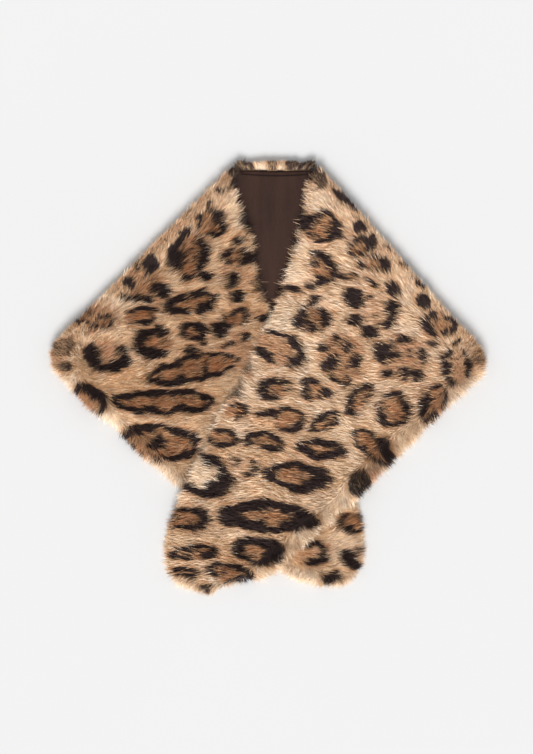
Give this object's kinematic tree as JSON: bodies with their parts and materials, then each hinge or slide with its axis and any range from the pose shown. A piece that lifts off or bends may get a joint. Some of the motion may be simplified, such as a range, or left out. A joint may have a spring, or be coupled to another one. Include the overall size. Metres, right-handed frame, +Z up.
{
  "type": "fur collar wrap",
  "caption": "Faux-fur collar wrap laid flat, folded over at both shoulders with crossed tails and a lined neck.",
  "frame": {"origin": "middle of the laid wrap's outline, on the surface it lies on", "axes": "+Z up from the surface to the upper front, +Y towards the neck edge, +X towards the fold that the upper front comes from"},
  "size_m": [0.6, 0.5919, 0.0376],
  "materials": {
    "fur": "long acrylic pile with a printed leopard pattern, soft and matt",
    "lining": "dark brown satin-backed weave, soft gloss",
    "lining_band": "the same satin, pressed flat and stitched"
  },
  "bodies": {
    "root": {"back_fur": "fur", "left_front_fur": "fur", "right_front_fur": "fur", "back_lining": "lining", "neck_band": "lining_band"}
  },
  "joints": []
}
